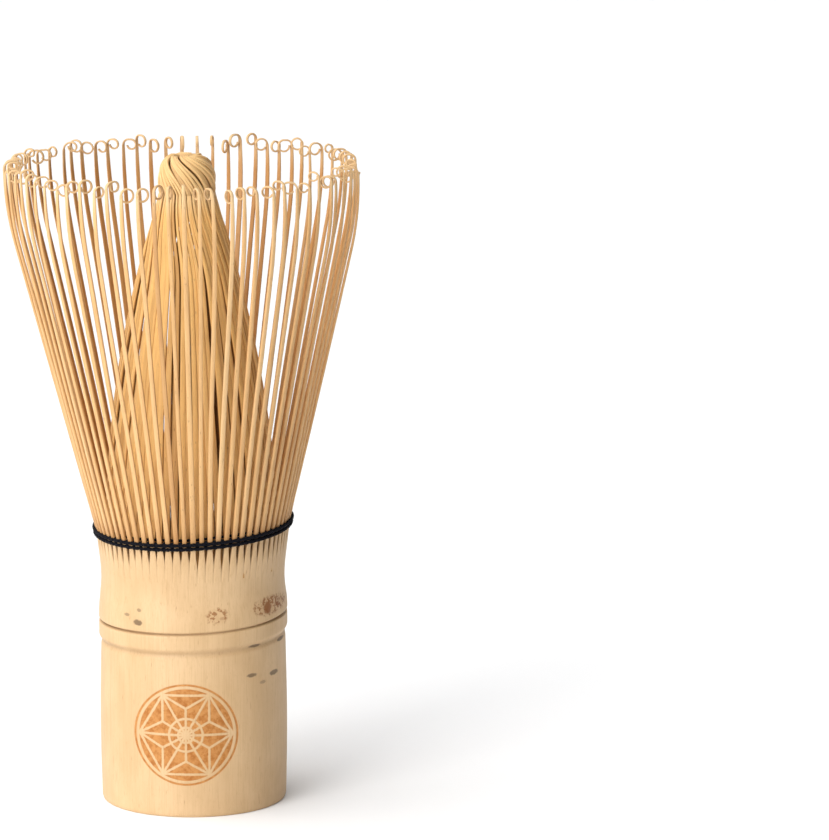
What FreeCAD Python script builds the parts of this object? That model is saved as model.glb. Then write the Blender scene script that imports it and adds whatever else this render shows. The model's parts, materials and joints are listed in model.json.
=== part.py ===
# Bamboo tea whisk (chasen). One bamboo culm is split above its node into a flared ring of outer
# tines and a cone of inner tines, and a black cotton thread is woven round the outer tines' roots.
# Millimetres, +Z up, origin at the centre of the handle's foot. The front faces -Y.
import FreeCAD, Part
import math
import os
import Sketcher

Vector = FreeCAD.Vector
UP = Vector(0, 0, 1)

SECTORS = 18            # the culm is first split into this many sections
TINES_PER_SECTOR = 4    # each section gives this many outer and this many inner tines
THREAD_TURNS = 3
PITCH = 360 / (SECTORS * TINES_PER_SECTOR)      # degrees from one tine to the next

SIZES = {
    # handle, outside: a slightly barrelled grip, the node ring between two grooves, and a neck
    "foot_radius": 14.92,
    "foot_bevel": 0.4,
    "grip_barrel": 400,
    "grip_top_radius": 14.86,
    "grip_top_z": 26.1,
    "lower_groove_radius": 14.6,
    "lower_groove_z": 26.9,
    "ring_edge_radius": 15.1,
    "ring_bottom_z": 27.6,
    "ring_top_z": 29.95,
    "ring_bulge": 4.9,
    "upper_groove_radius": 14.75,
    "upper_groove_z": 30.35,
    "swell_bottom_z": 30.8,
    "swell_top_z": 33.7,
    "swell_edge_radius": 15.12,
    "swell_bulge": 10.8,
    "neck_hollow": 17.5,
    # handle, inside: an open bore below the node's natural wall and a cavity above it
    "bore_radius": 11.6,
    "wall_bottom_z": 27.2,
    "wall_top_z": 28.8,
    "cavity_radius": 12.3,
    "cavity_straight_z": 34,
    # the comb of strips left between the slits, up to the thread
    "slit_bottom_z": 40.4,
    "slit_width": 0.54,
    "slit_inner_radius": 13,
    "slit_outer_radius": 17,
    "comb_bottom_outer": 15.05,
    "comb_bottom_inner": 14.25,
    "comb_blank_outer": 15.84,
    "comb_blank_thick": 0.36,
    "comb_blank_z": 46.5,
    "thread_z": 45,
    "thread_rise": 0.78,
    "thread_slant": 0.1,
    "strip_gap": 0.1,
    # outer tines
    "tine_width": 0.8,
    "tine_tip_width": 0.62,
    "tine_root_radius": 15.65,
    "tine_root_thick": 0.5,
    "tine_tip_thick": 0.28,
    "planing_allowance": 0.2,
    "shoulder_radius": 27.2,
    "shoulder_z": 91.4,
    "shoulder_bend": 49.7,
    "rim_radius": 28.64,
    "curl_z": 103.5,
    "curl_radius": 1.1,
    "curl_flat": 0.3,
    "curl_end_angle": 240,
    "outer_lean": 1.25,
    # inner tines
    "inner_width": 0.36,
    "inner_tip_width": 0.26,
    "inner_thick": 0.42,
    "inner_tip_thick": 0.28,
    "inner_foot_radius": 14.95,
    "inner_foot_lift": 0.03,
    "inner_bend_radius": 14.4,
    "inner_bend_z": 43.2,
    "first_knee_radius": 12.86,
    "first_knee_z": 59.2,
    "second_knee_radius": 10.67,
    "second_knee_z": 73.4,
    "third_knee_radius": 7.83,
    "third_knee_z": 86.8,
    "inner_top_radius": 4.45,
    "inner_top_z": 99.6,
    "inner_lean": 0.5,
    # the knot of gathered inner tips
    "knot_shift": 0.5,
    "knot_bottom_z": 99.75,
    "knot_base_radius": 4.2,
    "knot_top_radius": 2.8,
    "knot_top_z": 105.8,
    "knot_bulge": 5.1,
    "knot_dimple_radius": 0.9,
    "knot_dimple_z": 105.3,
    # thread
    "thread_diameter": 0.36,
    "thread_pitch": 0.4,
    "thread_clearance": 0.09,
    "thread_bend": 0.26,
}


def make_sheet(document):
    """Write the driving dimensions into the spreadsheet, one alias to a row."""
    sheet = document.addObject("Spreadsheet::Sheet", "dims")
    for row, (alias, value) in enumerate(SIZES.items(), start=1):
        sheet.set(f"A{row}", alias)
        sheet.set(f"B{row}", str(value))
        sheet.setAlias(f"B{row}", alias)
    document.recompute()
    return sheet


def origin_feature(body, role):
    """The body's own origin plane or axis with this role."""
    return [feature for feature in body.Origin.OriginFeatures if feature.Role == role][0]


def new_body(label):
    body = document.addObject("PartDesign::Body", label)
    body.Label = label
    return body


def new_sketch(body, plane, name):
    sketch = body.newObject("Sketcher::SketchObject", name)
    sketch.AttachmentSupport = [(origin_feature(body, plane), "")]
    sketch.MapMode = "FlatFace"
    return sketch


def bind(sketch, constraint, expression):
    """Add a constraint whose value follows the spreadsheet."""
    index = sketch.addConstraint(constraint)
    sketch.setExpression(f"Constraints[{index}]", expression)


def number(expression):
    """The plain value of a spreadsheet expression."""
    value = dims.evalExpression(expression)
    return float(getattr(value, "Value", value))


def arc_between(start, end, radius, centre_side):
    """The minor arc from start to end. centre_side is 1 with the centre on the left of the
    way from start to end, and -1 on the right. Arcs always run anticlockwise."""
    chord = end - start
    middle = (start + end) * 0.5
    left = Vector(-chord.y, chord.x, 0).normalize()
    rise = math.sqrt(radius ** 2 - (chord.Length / 2) ** 2)
    centre = middle + left * (rise * centre_side)
    first, last = (start, end) if centre_side > 0 else (end, start)
    first_angle = math.atan2(first.y - centre.y, first.x - centre.x)
    last_angle = math.atan2(last.y - centre.y, last.x - centre.x)
    return Part.ArcOfCircle(Part.Circle(centre, UP, radius), first_angle, last_angle)


def draw_outline(sketch, corners):
    """Draw a closed outline. Each corner is (x, y) for a straight side to the next corner, or
    (x, y, radius, centre_side) for an arc, all spreadsheet expressions but centre_side."""
    points = [Vector(number(corner[0]), number(corner[1]), 0) for corner in corners]
    sides = []
    for position, corner in enumerate(corners):
        start, end = points[position], points[(position + 1) % len(corners)]
        if len(corner) == 2:
            sides.append((sketch.addGeometry(Part.LineSegment(start, end), False), 1, 2))
            continue
        arc = arc_between(start, end, number(corner[2]), corner[3])
        index = sketch.addGeometry(arc, False)
        sides.append((index, 1, 2) if corner[3] > 0 else (index, 2, 1))
        bind(sketch, Sketcher.Constraint("Radius", index, number(corner[2])), corner[2])
    for position, (side, start_end, far_end) in enumerate(sides):
        next_side, next_start, next_far = sides[(position + 1) % len(sides)]
        sketch.addConstraint(Sketcher.Constraint("Coincident", side, far_end, next_side, next_start))
        point = points[position]
        for kind, axis, value, text in (("DistanceX", -2, point.x, corners[position][0]),
                                        ("DistanceY", -1, point.y, corners[position][1])):
            if text == "0":
                sketch.addConstraint(Sketcher.Constraint("PointOnObject", side, start_end, axis))
            else:
                bind(sketch, Sketcher.Constraint(kind, -1, 1, side, start_end, value), text)


def add_feature(body, kind, name, sketch):
    feature = body.newObject(kind, name)
    feature.Profile = sketch
    sketch.Visibility = False
    return feature


def revolve(body, sketch):
    """Turn the sketch once round the body's Z axis."""
    revolution = add_feature(body, "PartDesign::Revolution", body.Label + "_turned", sketch)
    revolution.ReferenceAxis = (origin_feature(body, "Z_Axis"), [""])
    revolution.Angle = 360
    document.recompute()
    return revolution


def cut_both_ways(body, name, sketch, length=None):
    """Pocket to both sides of the sketch plane, by a bound length or right through."""
    before = body.Shape.Volume
    pocket = add_feature(body, "PartDesign::Pocket", name, sketch)
    pocket.Midplane = True
    if length:
        pocket.setExpression("Length", length)
    else:
        pocket.Type = "ThroughAll"
    document.recompute()
    assert pocket.Shape.Volume < before, f"{name} cuts nothing"
    return pocket


def repeat_round_axis(body, name, count, angle, feature=None):
    """A polar pattern about the body's Z axis, of one feature or of the whole body."""
    pattern = body.newObject("PartDesign::PolarPattern", name)
    if feature:
        pattern.Originals = [feature]
    else:
        pattern.TransformMode = "Whole shape"
    pattern.Axis = (origin_feature(body, "Z_Axis"), [""])
    pattern.Angle = angle
    pattern.Occurrences = count
    body.Tip = pattern
    document.recompute()
    return pattern


def make_handle():
    """The culm: grip, node ring, neck, the node's inner wall and the comb of root strips, which
    is cut off just under the slanted line of the thread."""
    body = new_body("handle_culm")
    profile = new_sketch(body, "XZ_Plane", "handle_profile")
    draw_outline(profile, [
        ("dims.bore_radius", "0"),
        ("dims.foot_radius - dims.foot_bevel", "0"),
        ("dims.foot_radius", "dims.foot_bevel", "dims.grip_barrel", 1),
        ("dims.grip_top_radius", "dims.grip_top_z"),
        ("dims.lower_groove_radius", "dims.lower_groove_z"),
        ("dims.ring_edge_radius", "dims.ring_bottom_z", "dims.ring_bulge", 1),
        ("dims.ring_edge_radius", "dims.ring_top_z"),
        ("dims.upper_groove_radius", "dims.upper_groove_z"),
        ("dims.swell_edge_radius", "dims.swell_bottom_z", "dims.swell_bulge", 1),
        ("dims.swell_edge_radius", "dims.swell_top_z", "dims.neck_hollow", -1),
        ("dims.comb_bottom_outer", "dims.slit_bottom_z"),
        ("dims.comb_blank_outer", "dims.comb_blank_z"),
        ("dims.comb_blank_outer - dims.comb_blank_thick", "dims.comb_blank_z"),
        ("dims.comb_bottom_inner", "dims.slit_bottom_z"),
        ("dims.cavity_radius", "dims.cavity_straight_z"),
        ("dims.cavity_radius", "dims.wall_top_z"),
        ("0", "dims.wall_top_z"),
        ("0", "dims.wall_bottom_z"),
        ("dims.bore_radius", "dims.wall_bottom_z"),
    ])
    revolve(body, profile)
    slit_sketch = new_sketch(body, "XZ_Plane", "slit_outline")
    draw_outline(slit_sketch, [
        ("dims.slit_inner_radius", "dims.slit_bottom_z"),
        ("dims.slit_outer_radius", "dims.slit_bottom_z"),
        ("dims.slit_outer_radius", "dims.comb_blank_z"),
        ("dims.slit_inner_radius", "dims.comb_blank_z"),
    ])
    slit = cut_both_ways(body, "slit", slit_sketch, "dims.slit_width")
    repeat_round_axis(body, "slits", SECTORS * TINES_PER_SECTOR, 360, slit)
    trim = new_sketch(body, "XZ_Plane", "comb_trim")
    rise = "dims.thread_rise * dims.slit_outer_radius / dims.tine_root_radius"
    draw_outline(trim, [
        ("-dims.slit_outer_radius", f"dims.thread_z - dims.strip_gap - {rise}"),
        ("dims.slit_outer_radius", f"dims.thread_z - dims.strip_gap + {rise}"),
        ("dims.slit_outer_radius", "dims.comb_blank_z + 1"),
        ("-dims.slit_outer_radius", "dims.comb_blank_z + 1"),
    ])
    cut_both_ways(body, "comb_trimmed", trim)
    return body


def make_tines(label, outline, width, tip_width, tip_z):
    """One sector's tines: an outline padded to a wide blank, both sides planed down to a width
    that narrows towards the tip, and the tine repeated once for every pitch of the sector."""
    body = new_body(label)
    side_view = new_sketch(body, "XZ_Plane", label + "_outline")
    draw_outline(side_view, outline)
    pad = add_feature(body, "PartDesign::Pad", label + "_blank", side_view)
    pad.Midplane = True
    pad.setExpression("Length", f"{width} + dims.planing_allowance")
    document.recompute()
    shavings = new_sketch(body, "YZ_Plane", label + "_shavings")
    for side in ("", "-"):
        draw_outline(shavings, [
            (f"{side}({width} / 2)", "dims.slit_bottom_z"),
            (f"{side}({tip_width} / 2)", tip_z),
            (f"{side}{width}", tip_z),
            (f"{side}{width}", "dims.slit_bottom_z"),
        ])
    cut_both_ways(body, label + "_planed", shavings)
    sector_angle = PITCH * (TINES_PER_SECTOR - 1)
    repeat_round_axis(body, label + "_set", TINES_PER_SECTOR, sector_angle)
    return body


def slope_at(azimuth):
    """How far the slanted thread stands above its mean height here, as a share of its rise."""
    return round(math.cos(math.radians(azimuth)), 6)


def place_sector(body, azimuth, root_radius, root_z, lean):
    """Turn a sector to its azimuth, then lean it to -X about the middle of its own roots."""
    turned = FreeCAD.Placement(Vector(), FreeCAD.Rotation(UP, azimuth - PITCH * (TINES_PER_SECTOR - 1) / 2))
    angle = math.radians(azimuth)
    root = Vector(root_radius * math.cos(angle), root_radius * math.sin(angle), root_z)
    leaned = FreeCAD.Placement(Vector(), FreeCAD.Rotation(Vector(0, 1, 0), -lean), root)
    body.Placement = leaned.multiply(turned)


def outer_outline(slope):
    """Side view of one outer tine: straight flare, a bend to upright, and the tip rolled inward
    over a small flat top. The outer edge runs up and the inner edge runs back down. The foot
    stands just over the thread's line, which is slanted."""
    foot_z = f"dims.thread_z + dims.strip_gap + dims.thread_rise * {slope}"
    foot_radius = f"dims.tine_root_radius + dims.thread_slant * {slope}"
    rim, thick = "dims.rim_radius", "dims.tine_tip_thick"
    first_centre = f"({rim} - dims.curl_radius)"
    second_centre = f"({rim} - dims.curl_radius - dims.curl_flat)"
    inner_curl = f"(dims.curl_radius - {thick})"
    ray = ("cos(dims.curl_end_angle)", "sin(dims.curl_end_angle)")
    return [
        (foot_radius, foot_z),
        ("dims.shoulder_radius", "dims.shoulder_z", "dims.shoulder_bend", 1),
        (rim, "dims.curl_z", "dims.curl_radius", 1),
        (first_centre, "dims.curl_z + dims.curl_radius"),
        (second_centre, "dims.curl_z + dims.curl_radius", "dims.curl_radius", 1),
        (f"{second_centre} + dims.curl_radius * {ray[0]}", f"dims.curl_z + dims.curl_radius * {ray[1]}"),
        (f"{second_centre} + {inner_curl} * {ray[0]}", f"dims.curl_z + {inner_curl} * {ray[1]}",
         inner_curl, -1),
        (second_centre, f"dims.curl_z + {inner_curl}"),
        (first_centre, f"dims.curl_z + {inner_curl}", inner_curl, -1),
        (f"{rim} - {thick}", "dims.curl_z", f"dims.shoulder_bend - {thick}", -1),
        (f"dims.shoulder_radius - {thick}", "dims.shoulder_z"),
        (f"{foot_radius} - dims.tine_root_thick", foot_z),
    ]


def inner_outline():
    """Side view of one inner tine: out of its slit, under the thread, then over three knees, each
    a little more bent, to the knot. It thins from the first knee up."""
    outer_edge = [
        ("dims.inner_foot_radius", "dims.slit_bottom_z + dims.inner_foot_lift"),
        ("dims.inner_bend_radius", "dims.inner_bend_z"),
        ("dims.first_knee_radius", "dims.first_knee_z"),
        ("dims.second_knee_radius", "dims.second_knee_z"),
        ("dims.third_knee_radius", "dims.third_knee_z"),
        ("dims.inner_top_radius", "dims.inner_top_z"),
    ]
    inner_edge = []
    for position, (radius, height) in enumerate(outer_edge):
        thinned = max(0, position - 2) / (len(outer_edge) - 3)
        thick = f"dims.inner_thick - (dims.inner_thick - dims.inner_tip_thick) * {thinned:.4f}"
        inner_edge.append((f"{radius} - ({thick})", height))
    return outer_edge + inner_edge[::-1]


def make_knot():
    """The gathered and twisted tips of the inner tines, as one flattened ball with a dimple."""
    body = new_body("inner_tip_knot")
    profile = new_sketch(body, "XZ_Plane", "knot_profile")
    draw_outline(profile, [
        ("0", "dims.knot_bottom_z"),
        ("dims.knot_base_radius", "dims.knot_bottom_z", "dims.knot_bulge", 1),
        ("dims.knot_top_radius", "dims.knot_top_z"),
        ("dims.knot_dimple_radius", "dims.knot_dimple_z"),
        ("0", "dims.knot_dimple_z"),
    ])
    revolve(body, profile)
    body.Placement = FreeCAD.Placement(Vector(-dims.knot_shift, 0, 0), FreeCAD.Rotation())
    return body


def weave_path(turn):
    """One closed turn of the thread's centre line: outside one tine, in through the gap, inside
    the next tine and out again, with the next turn on the opposite sides."""
    rise = dims.thread_pitch * (turn - (THREAD_TURNS - 1) / 2)
    tine_slope = (dims.shoulder_radius - dims.tine_root_radius) / (dims.shoulder_z - dims.thread_z)
    strip_slope = (dims.comb_blank_outer - dims.comb_bottom_outer) / (dims.comb_blank_z - dims.slit_bottom_z)
    middle = dims.tine_root_radius - dims.tine_root_thick / 2
    middle += rise * (tine_slope if rise > 0 else strip_slope)
    step = dims.tine_root_thick / 2 + dims.thread_clearance + dims.thread_diameter / 2
    corners = []
    for gap in range(SECTORS * TINES_PER_SECTOR):
        angle = math.radians(gap * PITCH)
        middle_here = middle + dims.thread_slant * math.cos(angle)
        radii = (middle_here - step, middle_here + step)
        if (gap + turn) % 2:
            radii = radii[::-1]
        corners += [Vector(r * math.cos(angle), r * math.sin(angle), dims.thread_z + rise) for r in radii]
    return corners


def round_corners(corners, radius):
    """A closed wire of straight runs joined by tangent arcs of one radius."""
    arcs = []
    for position, corner in enumerate(corners):
        back = (corners[position - 1] - corner).normalize()
        ahead = (corners[(position + 1) % len(corners)] - corner).normalize()
        half_angle = back.getAngle(ahead) / 2
        middle_way = (back + ahead).normalize()
        centre = corner + middle_way * (radius / math.sin(half_angle))
        setback = radius / math.tan(half_angle)
        arcs.append(Part.Arc(corner + back * setback, centre - middle_way * radius, corner + ahead * setback))
    edges = []
    for position, arc in enumerate(arcs):
        following = arcs[(position + 1) % len(arcs)]
        edges += [arc.toShape(), Part.LineSegment(arc.EndPoint, following.StartPoint).toShape()]
    return Part.Wire(edges)


def make_thread(turn):
    """One turn of the cotton thread, a round section swept along the weave. It is wound a little
    askew: higher on the +X side, where the tines stand further out."""
    path = round_corners(weave_path(turn), dims.thread_bend)
    first = path.Edges[0]
    section = Part.Circle(first.valueAt(first.FirstParameter), first.tangentAt(first.FirstParameter),
                          dims.thread_diameter / 2)
    feature = document.addObject("Part::Feature", f"thread_turn_{turn + 1}")
    feature.Shape = path.makePipeShell([Part.Wire(section.toShape())], True, False)
    slant = math.degrees(math.asin(dims.thread_rise / dims.tine_root_radius))
    feature.Placement = FreeCAD.Placement(Vector(), FreeCAD.Rotation(Vector(0, 1, 0), -slant),
                                          Vector(0, 0, dims.thread_z))
    expected = path.Length * math.pi * dims.thread_diameter ** 2 / 4
    print(f"{feature.Label}: {path.Length:.1f} mm, volume {feature.Shape.Volume / expected:.4f} of it")
    return feature


def check_document(pieces):
    """Every object is up to date and every piece is a whole, valid shape."""
    for thing in document.Objects:
        assert not {"Invalid", "Error"} & set(thing.State), f"{thing.Label} failed: {thing.State}"
    for piece in pieces:
        assert not piece.Shape.isNull() and piece.Shape.isValid(), f"{piece.Label} has no valid shape"


document = FreeCAD.newDocument("tea_whisk")
dims = make_sheet(document)

pieces = [make_handle()]
for sector in range(SECTORS):
    azimuth = sector * 360 / SECTORS
    slope = slope_at(azimuth)
    outer = make_tines(f"outer_tines_{sector + 1:02d}", outer_outline(slope), "dims.tine_width",
                       "dims.tine_tip_width", "dims.curl_z + 2 * dims.curl_radius")
    root_radius = dims.tine_root_radius - dims.tine_root_thick / 2 + dims.thread_slant * slope
    place_sector(outer, azimuth, root_radius, dims.thread_z + dims.thread_rise * slope, dims.outer_lean)
    inner = make_tines(f"inner_tines_{sector + 1:02d}", inner_outline(), "dims.inner_width",
                       "dims.inner_tip_width", "dims.knot_bottom_z")
    place_sector(inner, azimuth + PITCH / 2, dims.inner_foot_radius - dims.inner_thick / 2,
                 dims.slit_bottom_z, dims.inner_lean)
    pieces += [outer, inner]
pieces.append(make_knot())
pieces += [make_thread(turn) for turn in range(THREAD_TURNS)]

document.recompute()
check_document(pieces)

os.makedirs("parts", exist_ok=True)
for piece in pieces:
    piece.Shape.exportStep(f"parts/{piece.Label}.step")
    print(f"{piece.Label}: {len(piece.Shape.Solids)} solids, {piece.Shape.Volume:.1f} mm3")
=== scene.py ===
# %% [markdown]
# # A bamboo tea whisk
# A tea whisk is cut from a single piece of bamboo. The lower half stays whole and is the handle.
# The upper half is split into fine tines: one ring flares out and curls in at the tips, the other
# leans together into a cone and is knotted at the top. A black cotton thread holds the two apart.
# The imported model gives the bodies, the joints and every position. Nothing here moves it: each
# piece made below takes the place of a plain CAD node and rides on the same body.

# %% Load the frame
import json
import math
import bpy
import numpy as np
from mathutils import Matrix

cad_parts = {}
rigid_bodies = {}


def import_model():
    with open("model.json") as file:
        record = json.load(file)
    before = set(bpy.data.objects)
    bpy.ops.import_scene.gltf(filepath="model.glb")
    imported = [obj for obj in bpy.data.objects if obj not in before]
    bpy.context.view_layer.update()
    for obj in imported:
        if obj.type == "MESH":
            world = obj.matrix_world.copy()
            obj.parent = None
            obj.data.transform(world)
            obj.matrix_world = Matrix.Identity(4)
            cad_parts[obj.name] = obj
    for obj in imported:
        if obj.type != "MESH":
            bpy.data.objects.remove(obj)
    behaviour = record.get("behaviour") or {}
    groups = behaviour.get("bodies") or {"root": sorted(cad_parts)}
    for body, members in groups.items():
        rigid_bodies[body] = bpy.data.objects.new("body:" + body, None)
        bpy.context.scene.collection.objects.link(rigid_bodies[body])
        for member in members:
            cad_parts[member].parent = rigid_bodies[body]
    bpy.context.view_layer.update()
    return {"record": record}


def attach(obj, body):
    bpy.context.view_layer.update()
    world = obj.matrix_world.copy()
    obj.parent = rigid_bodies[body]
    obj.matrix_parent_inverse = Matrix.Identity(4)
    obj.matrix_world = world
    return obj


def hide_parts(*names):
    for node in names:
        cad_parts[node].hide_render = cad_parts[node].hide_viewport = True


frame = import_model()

MM = 0.001

# %% [markdown]
# ## Sizes taken from the frame
# The joints say where the outer tines are held: every hinge sits on the line of the thread, and
# the line is a little askew, so its height is read from the hinges. The rest are sizes of the
# bamboo itself, in millimetres, because that is how a maker would measure it.

# %% Read the head's layout from the hinges
hinges = [np.array(joint["pos_m"]) / MM for joint in frame["record"]["behaviour"]["joints"]]
SECTORS = len(hinges)
PER_SECTOR = 4
TINES = SECTORS * PER_SECTOR
PITCH = 2 * math.pi / TINES
thread_middle = float(np.mean([h[2] for h in hinges]))
thread_rise = float(max(h[2] for h in hinges) - thread_middle)
tine_azimuths = PITCH * (np.arange(TINES) + 0.5)
tine_sectors = (np.floor((tine_azimuths + 2 * PITCH) / (PER_SECTOR * PITCH)).astype(int)) % SECTORS
slit_azimuths = PITCH * np.arange(TINES)
slit_sectors = (np.floor((slit_azimuths + 1.5 * PITCH) / (PER_SECTOR * PITCH)).astype(int)) % SECTORS
chance = np.random.default_rng(11)
print(f"{TINES} tines in {SECTORS} sectors, thread at {thread_middle:.2f} mm, askew by {thread_rise:.2f} mm")


# %% [markdown]
# ## From arrays to meshes
# Every piece is a grid of points worked out with numpy, and goes to Blender as whole arrays. The
# sign of the volume inside tells whether the faces look outward.

# %% Make one mesh
def enclosed_volume(points, quads):
    """Six times the volume inside the quads: the triple product of three corners, summed over
    the two triangles of each quad. It is negative when the faces look inward."""
    a, b, c, d = (points[quads[:, corner]] for corner in range(4))
    return float(np.sum(np.cross(a, b) * c) + np.sum(np.cross(a, c) * d))


def mesh_piece(name, points, faces, uvs=None, values=None, sharp=35):
    """A mesh object from points in millimetres, a list of face arrays (one array for each count
    of corners), a matching list of UV arrays, and named values given for every point."""
    mesh = bpy.data.meshes.new(name)
    corners = np.concatenate([block.ravel() for block in faces]).astype(np.int32)
    counts = np.concatenate([np.full(len(block), block.shape[1], np.int32) for block in faces])
    mesh.vertices.add(len(points))
    mesh.vertices.foreach_set("co", (points * MM).astype(np.float32).ravel())
    mesh.loops.add(len(corners))
    mesh.loops.foreach_set("vertex_index", corners)
    mesh.polygons.add(len(counts))
    mesh.polygons.foreach_set("loop_start", np.concatenate([[0], np.cumsum(counts)[:-1]]).astype(np.int32))
    mesh.polygons.foreach_set("loop_total", counts)
    if uvs is not None:
        layer = mesh.uv_layers.new(name="grain")
        flat_uvs = np.concatenate([block.reshape(-1, 2) for block in uvs])
        layer.data.foreach_set("uv", flat_uvs.astype(np.float32).ravel())
    for label, value in (values or {}).items():
        attribute = mesh.attributes.new(label, "FLOAT", "POINT")
        attribute.data.foreach_set("value", np.broadcast_to(value, len(points)).astype(np.float32).ravel())
    mesh.update(calc_edges=True)
    mesh.validate()
    mesh.shade_smooth()
    mesh.set_sharp_from_angle(angle=math.radians(sharp))
    made = bpy.data.objects.new(name, mesh)
    bpy.context.scene.collection.objects.link(made)
    return made


print("a mesh helper and a volume check are ready")

# %% [markdown]
# A tube is a grid with one row for each station along it and one column for each point round its
# section. The grid becomes quads, and an open tube's ends get a flat cap. Many tubes go into one
# mesh at once, since seventy-two separate calls would be slower and no clearer.

# %% Make many tubes
def tubes_piece(name, grid, lengths, closed=False, values=None, sharp=35):
    """A mesh of many tubes. grid holds points by tube, station along it and column round it;
    closed joins the last station to the first, and open tubes get caps. lengths gives each
    station's place along its tube for the UV map, whose other way runs round the section."""
    tubes, stations, columns = grid.shape[:3]
    points = grid.reshape(-1, 3)
    index = np.arange(len(points)).reshape(tubes, stations, columns)
    far = np.roll(index, -1, axis=1) if closed else index[:, 1:]
    near = index if closed else index[:, :-1]
    quads = np.stack([near, np.roll(near, -1, 2), np.roll(far, -1, 2), far], -1)
    steps = np.diff(lengths, axis=1).mean() if closed else 0
    v_near = lengths if closed else lengths[:, :-1]
    v_far = np.concatenate([lengths[:, 1:], lengths[:, -1:] + steps], 1) if closed else lengths[:, 1:]
    u = np.broadcast_to(np.arange(columns) / columns, quads.shape[:3])
    v0, v1 = (np.broadcast_to(v[..., None], quads.shape[:3]) for v in (v_near, v_far))
    uv = np.stack([np.stack([u, v0], -1), np.stack([u + 1 / columns, v0], -1),
                   np.stack([u + 1 / columns, v1], -1), np.stack([u, v1], -1)], -2)
    quads, uv = quads.reshape(-1, 4), uv.reshape(-1, 4, 2)
    inside_out = enclosed_volume(points, quads) < 0
    faces, uvs = [quads[:, ::-1] if inside_out else quads], [uv[:, ::-1] if inside_out else uv]
    if not closed:
        for end, turn in ((index[:, 0], -1), (index[:, -1], 1)):
            cap = end[:, ::-turn if inside_out else turn]
            faces.append(cap)
            uvs.append(np.zeros(cap.shape + (2,)))
    flat = {label: np.broadcast_to(value, grid.shape[:3]).ravel() for label, value in (values or {}).items()}
    return mesh_piece(name, points, faces, uvs, flat, sharp)


print("tubes can be made")

# %% [markdown]
# Three small tools of geometry are used all through: unit vectors, a smooth blend between two
# values, and points given by radius, angle and height.

# %% Small tools of geometry
def unit(vectors):
    """The vectors at length 1."""
    return vectors / np.linalg.norm(vectors, axis=-1, keepdims=True)


def smooth_step(low, high, value):
    """0 below low, 1 above high, and a smooth S-shaped blend between them."""
    share = np.clip((value - low) / (high - low), 0, 1)
    return share * share * (3 - 2 * share)


def around(radius, azimuth, height):
    """Points from a radius, an angle round the axis and a height."""
    return np.stack(np.broadcast_arrays(radius * np.cos(azimuth), radius * np.sin(azimuth), height), -1)


print("a quarter round at radius 2:", around(2.0, math.pi / 2, 1.0).round(3))

# %% [markdown]
# ## The culm's outline
# Bamboo is a grass: a hollow stem with a solid wall at each node. Outside, a node shows as a
# ring between two grooves, where the old leaf sheath was. The handle is barrelled below it,
# swells above it, narrows to a neck and opens out again towards the thread. One formula gives
# the radius at any height, so that the handle, the strips and the tines all meet on it.

# %% The culm's radius at a height and an angle
NODE_Z, LOWER_GROOVE_Z, UPPER_GROOVE_Z = 29.0, 27.2, 30.5
GRIP_RADIUS, NECK_RADIUS = 14.92, 14.78


def wandered(height, azimuth):
    """The node sits askew, higher towards +X, and wanders a little: the height its profile is
    read at."""
    wander = 0.62 * np.cos(azimuth) + 0.26 * np.sin(azimuth) + 0.06 * np.sin(3 * azimuth + 2.0)
    return height - wander * np.exp(-((height - NODE_Z) / 5) ** 4)


def groove_depths(z, azimuth):
    """The shallow lower groove and the sharp upper one, each a bell curve about its height."""
    lower = 0.30 * np.exp(-((z - LOWER_GROOVE_Z) / 0.5) ** 2)
    upper = (0.42 + 0.1 * np.sin(2 * azimuth + 1)) * np.exp(-((z - UPPER_GROOVE_Z) / 0.2) ** 2)
    return lower, upper


def culm_radius(height, azimuth=0.0):
    """Barrelled grip below the node, then swell, neck and flare above it, less two grooves. The
    stem is faintly oval and its skin has fine ribs."""
    z = wandered(height, azimuth)
    grip = GRIP_RADIUS + 0.22 * np.sin(np.pi * np.clip(z / 26.5, 0, 1))
    flare = 0.13 * (np.sqrt((z - 38.3) ** 2 + 1.6 ** 2) + (z - 38.3)) / 2
    upper = NECK_RADIUS + 0.46 * (1 - smooth_step(31.5, 37.0, z)) + flare
    radius = grip + (upper - grip) * smooth_step(26.6, 28.1, z)
    radius = radius - sum(groove_depths(z, azimuth))
    oval = 0.03 * np.sin(2 * azimuth + 0.4) + 0.012 * np.sin(5 * azimuth)
    fibre = 0.006 * np.sin(61 * azimuth + 1.3 * np.sin(7 * azimuth)) + 0.004 * np.sin(113 * azimuth)
    return radius + oval + fibre


print("radius at foot and thread:", [round(float(culm_radius(z)), 2) for z in (0, thread_middle)])

# %% [markdown]
# ## The handle
# The stem is one closed skin: under the node's wall, down the bore, across the sawn foot, up the
# outside, over the top and down the inside again. It is a profile turned round the axis, a grid
# of heights and angles, with more rows where the grooves are narrow. A lathe would make the same
# round shape. The formula above adds what a lathe wouldn't: wander, ovality and fibres.

# %% Turn the handle's skin
COMB_BOTTOM_Z, COMB_INNER_RADIUS = 38.6, 13.85
BORE_RADIUS, CAVITY_RADIUS = 11.6, 12.3
WALL_BOTTOM_Z, WALL_TOP_Z = 27.2, 28.8
FOOT_EDGE, BORE_CORNER = 0.45, 0.9  # how far the sawn foot and the top of the bore are rounded


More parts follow.
